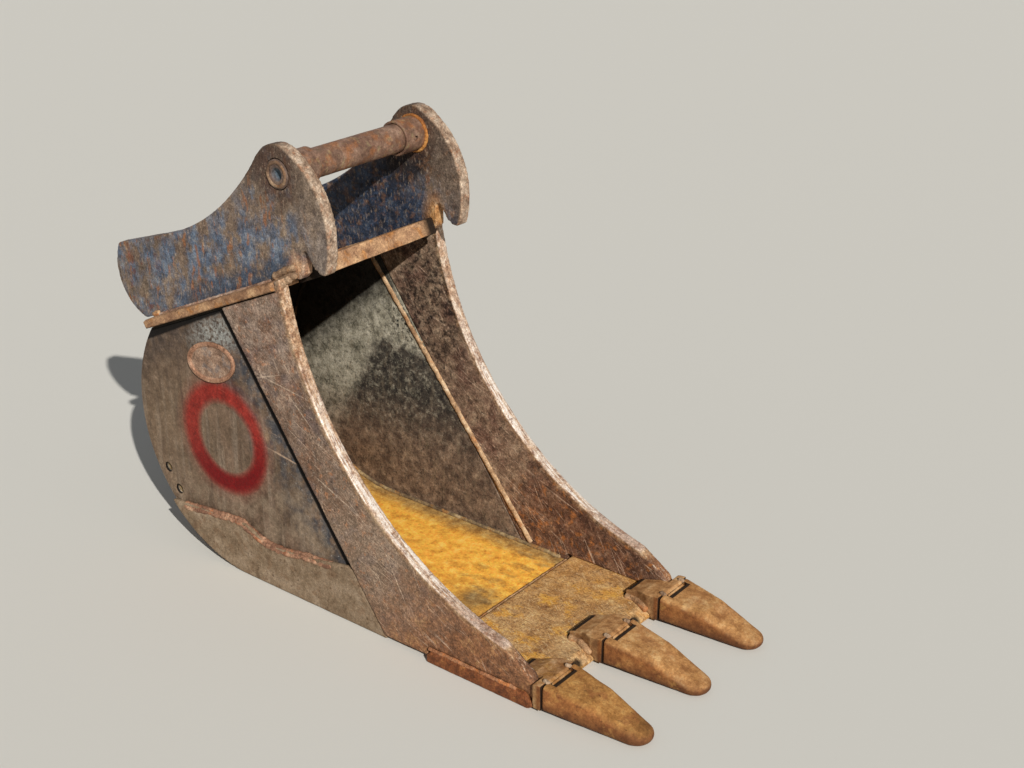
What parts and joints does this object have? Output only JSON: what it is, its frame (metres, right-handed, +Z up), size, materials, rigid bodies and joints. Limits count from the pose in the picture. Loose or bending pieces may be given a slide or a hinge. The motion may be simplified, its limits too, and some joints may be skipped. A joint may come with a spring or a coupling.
{
  "type": "excavator digging bucket",
  "caption": "Narrow trenching bucket with curved back, hooked coupler ears, a cross pin and slip-on teeth on welded adapters.",
  "frame": {"origin": "on the ground under the middle of the bucket's whole length and width", "axes": "+X forward, the way the teeth point; +Y to the left; +Z up, with the bucket lying on its floor"},
  "size_m": [1.298, 0.466, 0.901],
  "materials": {
    "rusted_plate": "hot rolled plate, rusted through old paint, bright where it is rubbed",
    "worn_paint": "old dark paint over rust",
    "rusted_shaft": "round bar with a thin even rust",
    "worn_cast_steel": "cast steel worn smooth, light rust"
  },
  "bodies": {
    "root": {"back_shell": "rusted_plate", "lip_plate": "rusted_plate", "side_bar_left": "rusted_plate", "side_bar_right": "rusted_plate", "top_plate": "rusted_plate", "front_beam": "rusted_plate", "heel_plate_left": "rusted_plate", "heel_plate_right": "rusted_plate", "oval_plate": "rusted_plate", "side_plate_left": "worn_paint", "side_plate_right": "worn_paint", "ear_left": "worn_paint", "ear_right": "worn_paint", "coupler_pin": "rusted_shaft", "pin_collar_left": "rusted_shaft", "pin_collar_right": "rusted_shaft", "tooth_keeper_left": "rusted_shaft", "tooth_keeper_middle": "rusted_shaft", "tooth_keeper_right": "rusted_shaft", "adapter_left": "worn_cast_steel", "adapter_middle": "worn_cast_steel", "adapter_right": "worn_cast_steel", "tooth_left": "worn_cast_steel", "tooth_middle": "worn_cast_steel", "tooth_right": "worn_cast_steel"}
  },
  "joints": []
}
